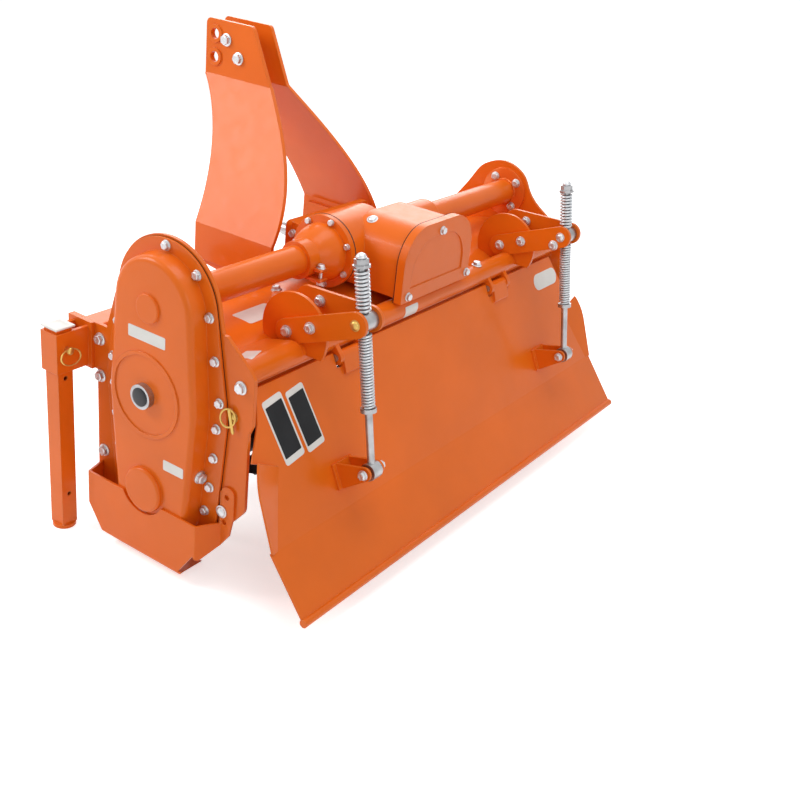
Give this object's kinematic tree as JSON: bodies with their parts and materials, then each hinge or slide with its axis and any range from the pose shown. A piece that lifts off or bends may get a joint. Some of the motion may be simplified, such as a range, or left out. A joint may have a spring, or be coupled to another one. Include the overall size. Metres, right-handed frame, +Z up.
{
  "type": "three-point rotary tiller",
  "caption": "Rotary tiller for a three-point hitch: side gear case, tined rotor under a hood, sprung tail board, mast, skids and a parking stand.",
  "frame": {"origin": "on the ground under the middle of the whole machine", "axes": "+X to the right across the machine along the rotor, +Y forward to the hitch, +Z up"},
  "size_m": [1.4651, 0.932, 1],
  "materials": {
    "orange_paint": "gloss",
    "zinc_plate": "satin",
    "spring_steel": "satin",
    "yellow_zinc": "satin",
    "black_paint": "satin",
    "gasket_rubber": "matte",
    "bare_steel": "satin"
  },
  "bodies": {
    "frame": {"arm_left": "orange_paint", "arm_right": "orange_paint", "fan_bracket_left": "orange_paint", "fan_bracket_right": "orange_paint", "front_beam": "orange_paint", "gear_case_cover": "orange_paint", "gear_case_gasket": "gasket_rubber", "gear_case_plug": "zinc_plate", "gearbox_gasket": "gasket_rubber", "gearbox_housing": "orange_paint", "gearbox_rear_cover": "orange_paint", "hinge_pins": "zinc_plate", "hitch_left": "orange_paint", "hitch_right": "orange_paint", "hood": "orange_paint", "left_side_plate": "orange_paint", "left_tube": "orange_paint", "mast_bracket_left": "orange_paint", "mast_bracket_right": "orange_paint", "mast_left": "orange_paint", "mast_right": "orange_paint", "mast_spacers": "zinc_plate", "rear_rail": "orange_paint", "right_bearing": "orange_paint", "right_side_plate": "orange_paint", "right_tube": "orange_paint", "skid_left": "orange_paint", "skid_right": "orange_paint", "stand_bracket": "orange_paint", "stand_pin": "yellow_zinc"},
    "rotor": {"rotor": "black_paint"},
    "input": {"pto_shaft": "bare_steel"},
    "tail": {"tail_board": "orange_paint", "rod_lug_left": "orange_paint", "rod_lug_right": "orange_paint"},
    "stand": {"stand_leg": "orange_paint"},
    "trunnion_left": {"trunnion_left": "zinc_plate", "lower_spring_left": "spring_steel", "upper_spring_left": "spring_steel"},
    "rod_left": {"rod_left": "zinc_plate"},
    "trunnion_right": {"trunnion_right": "zinc_plate", "lower_spring_right": "spring_steel", "upper_spring_right": "spring_steel"},
    "rod_right": {"rod_right": "zinc_plate"}
  },
  "joints": [
    {"name": "rotor_spin", "type": "hinge", "parent": "frame", "child": "rotor", "pos_m": [0.01815, -0.038, 0.182], "axis": [-1, 0, 0], "continuous": true},
    {"name": "input_spin", "type": "hinge", "parent": "frame", "child": "input", "pos_m": [0.01815, 0.138, 0.53], "axis": [0, -1, 0], "continuous": true},
    {"name": "tail_lift", "type": "hinge", "parent": "frame", "child": "tail", "pos_m": [0.01815, -0.23501, 0.43647], "axis": [-1, 0, 0], "range_deg": [0, 25]},
    {"name": "stand_slide", "type": "slide", "parent": "frame", "child": "stand", "axis": [0, 0, 1], "range_m": [0, 0.24]},
    {"name": "trunnion_left_tilt", "type": "hinge", "parent": "frame", "child": "trunnion_left", "pos_m": [-0.41185, -0.35001, 0.57697], "axis": [-1, 0, 0], "range_deg": [0, 16.52]},
    {"name": "rod_left_slide", "type": "slide", "parent": "trunnion_left", "child": "rod_left", "axis": [0, 0.1695, 0.9855], "range_m": [0, 0.06652], "deforming": ["lower_spring_left"]},
    {"name": "trunnion_right_tilt", "type": "hinge", "parent": "frame", "child": "trunnion_right", "pos_m": [0.44815, -0.35001, 0.57697], "axis": [-1, 0, 0], "range_deg": [0, 16.52]},
    {"name": "rod_right_slide", "type": "slide", "parent": "trunnion_right", "child": "rod_right", "axis": [0, 0.1695, 0.9855], "range_m": [0, 0.06652], "deforming": ["lower_spring_right"]}
  ],
  "couplings": [
    {"joint": "input_spin", "follows": "rotor_spin", "ratio": 2.57},
    {"joint": "trunnion_left_tilt", "follows": "tail_lift", "ratio": 0.65867},
    {"joint": "rod_left_slide", "follows": "tail_lift", "m_per_rad": 0.15198},
    {"joint": "trunnion_right_tilt", "follows": "tail_lift", "ratio": 0.65867},
    {"joint": "rod_right_slide", "follows": "tail_lift", "m_per_rad": 0.15198}
  ]
}
